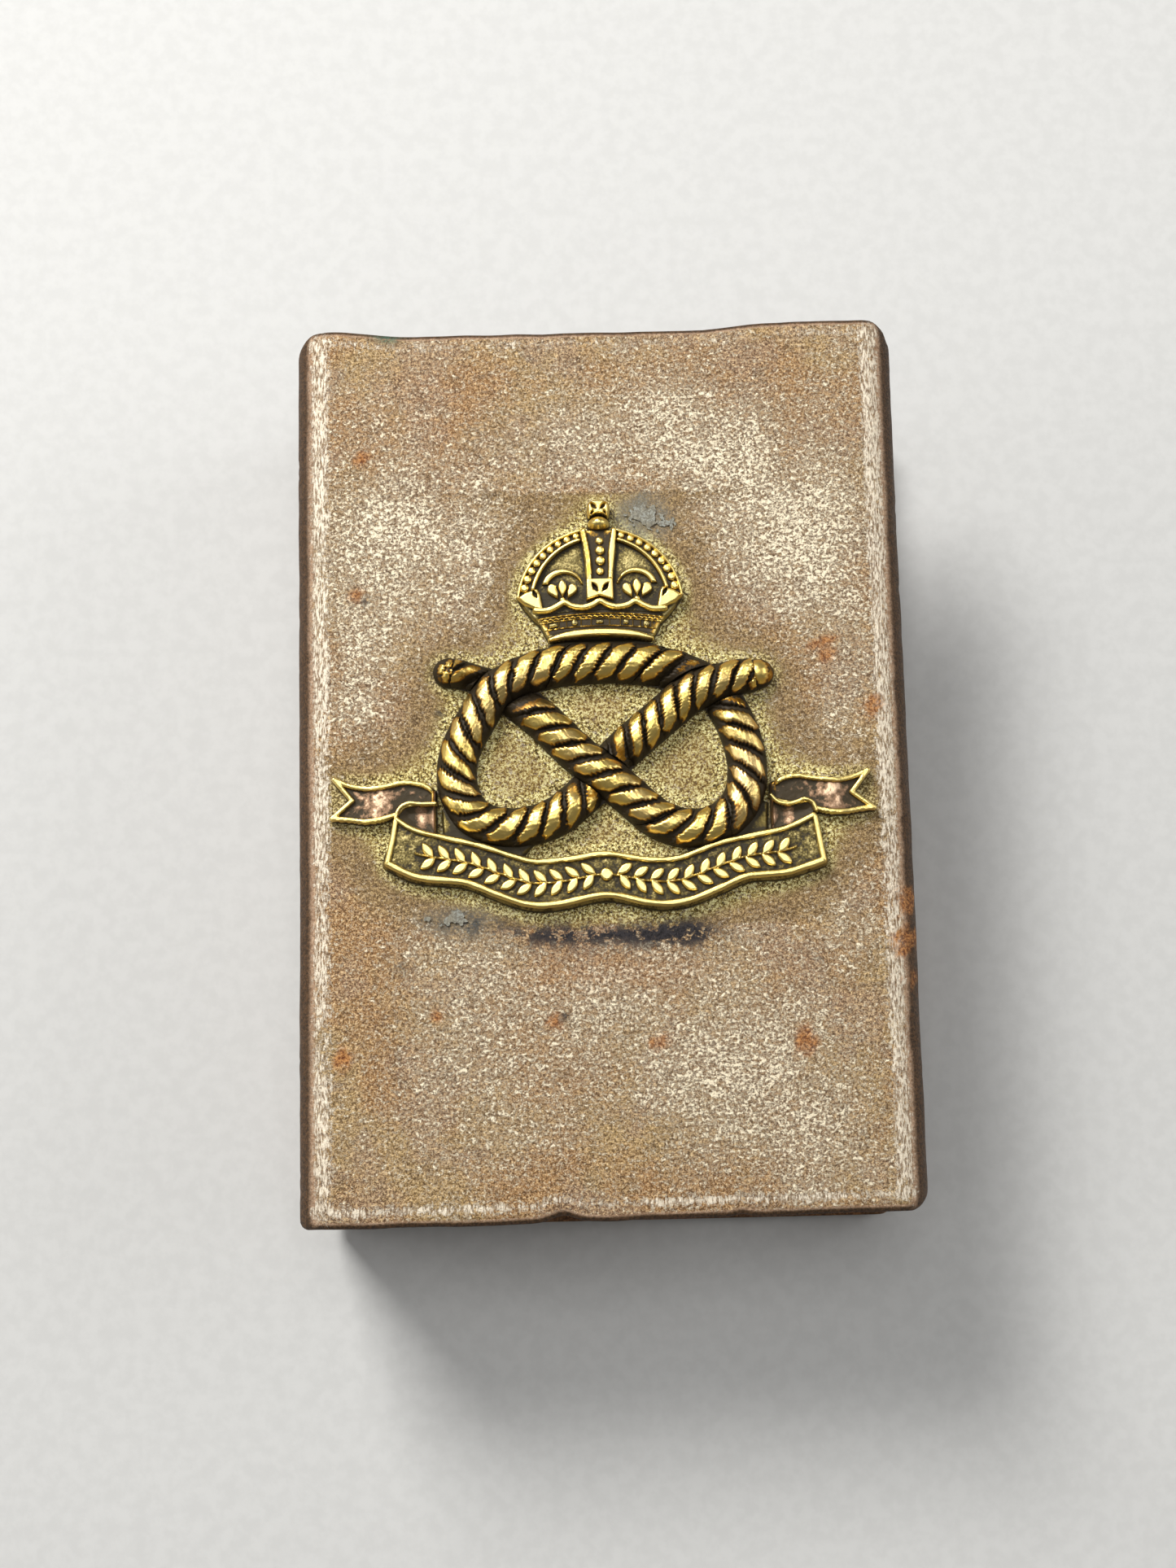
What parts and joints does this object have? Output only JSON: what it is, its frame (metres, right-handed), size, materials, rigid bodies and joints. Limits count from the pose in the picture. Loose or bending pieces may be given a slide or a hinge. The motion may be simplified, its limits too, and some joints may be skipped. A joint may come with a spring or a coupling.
{
  "type": "badged matchbox cover",
  "caption": "Bent sheet-steel matchbox sleeve, open at its ends, with a small brass crown, rope-knot and ribbon-scroll badge soldered to its front.",
  "frame": {"origin": "centre of the sleeve's back face, on the surface that it lies on", "axes": "+Y along the sleeve towards the crown of the badge, +Z out of the front that carries the badge, +X towards the side with the striker window"},
  "size_m": [0.04, 0.0592, 0.0214],
  "materials": {
    "steel_sheet": "brown worn patina with fine silvery pitting and rust spots",
    "solder": "dull grey tin-lead solder",
    "web_brass": "dark olive tarnish",
    "rope_brass": "worn bright on the strands, black in the grooves",
    "ground_brass": "stippled, dark tarnish",
    "raised_brass": "worn bright on the raised lines"
  },
  "bodies": {
    "root": {"case_sleeve": "steel_sheet", "solder_film": "solder", "solder_spots": "solder", "badge_web": "web_brass", "rope_right_end": "rope_brass", "rope_right_knob": "rope_brass", "rope_left_loop": "rope_brass", "rope_top_bow": "rope_brass", "rope_right_loop": "rope_brass", "rope_cross_strand": "rope_brass", "rope_left_end": "rope_brass", "rope_left_knob": "rope_brass", "scroll_band": "ground_brass", "scroll_upper_rim": "raised_brass", "scroll_lower_rim": "raised_brass", "scroll_end_rims": "raised_brass", "scroll_ornament": "raised_brass", "scroll_fold_left": "raised_brass", "scroll_fold_right": "raised_brass", "scroll_tail_left": "raised_brass", "scroll_tail_right": "raised_brass", "crown_plate": "ground_brass", "crown_arch_left": "raised_brass", "crown_arch_right": "raised_brass", "crown_arch_pearls": "raised_brass", "crown_centre_strap": "raised_brass", "crown_centre_pearls": "raised_brass", "crown_front_cross": "raised_brass", "crown_cap_folds": "raised_brass", "crown_fleurs": "raised_brass", "crown_side_crosses": "raised_brass", "crown_wavy_rim": "raised_brass", "crown_circlet": "ground_brass", "crown_jewels": "raised_brass", "crown_base_rim": "raised_brass", "crown_orb": "raised_brass", "crown_cross": "raised_brass"}
  },
  "joints": []
}
